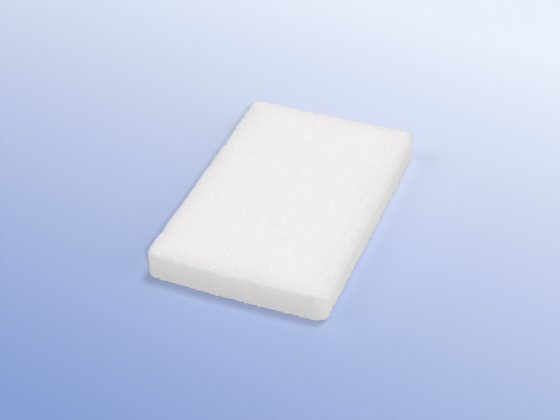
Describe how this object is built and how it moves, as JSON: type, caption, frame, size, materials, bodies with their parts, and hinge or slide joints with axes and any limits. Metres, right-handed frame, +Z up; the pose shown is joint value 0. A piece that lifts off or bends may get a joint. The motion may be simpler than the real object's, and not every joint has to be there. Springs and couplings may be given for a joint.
{
  "type": "foam block",
  "caption": "Thin rectangular block of soft white open-cell foam, hand-cut sides, top edge rolling down to them, ragged edges.",
  "frame": {"origin": "middle of the underside, on the surface that the block lies on", "axes": "+Z up through the thickness, +Y along the length from the front side to the back, +X to the right across the width"},
  "size_m": [0.0655, 0.1008, 0.0125],
  "materials": {
    "foam": "soft open-cell foam, fine grained, dull, with tiny glints from the cell walls"
  },
  "bodies": {
    "root": {"foam_block": "foam"}
  },
  "joints": []
}
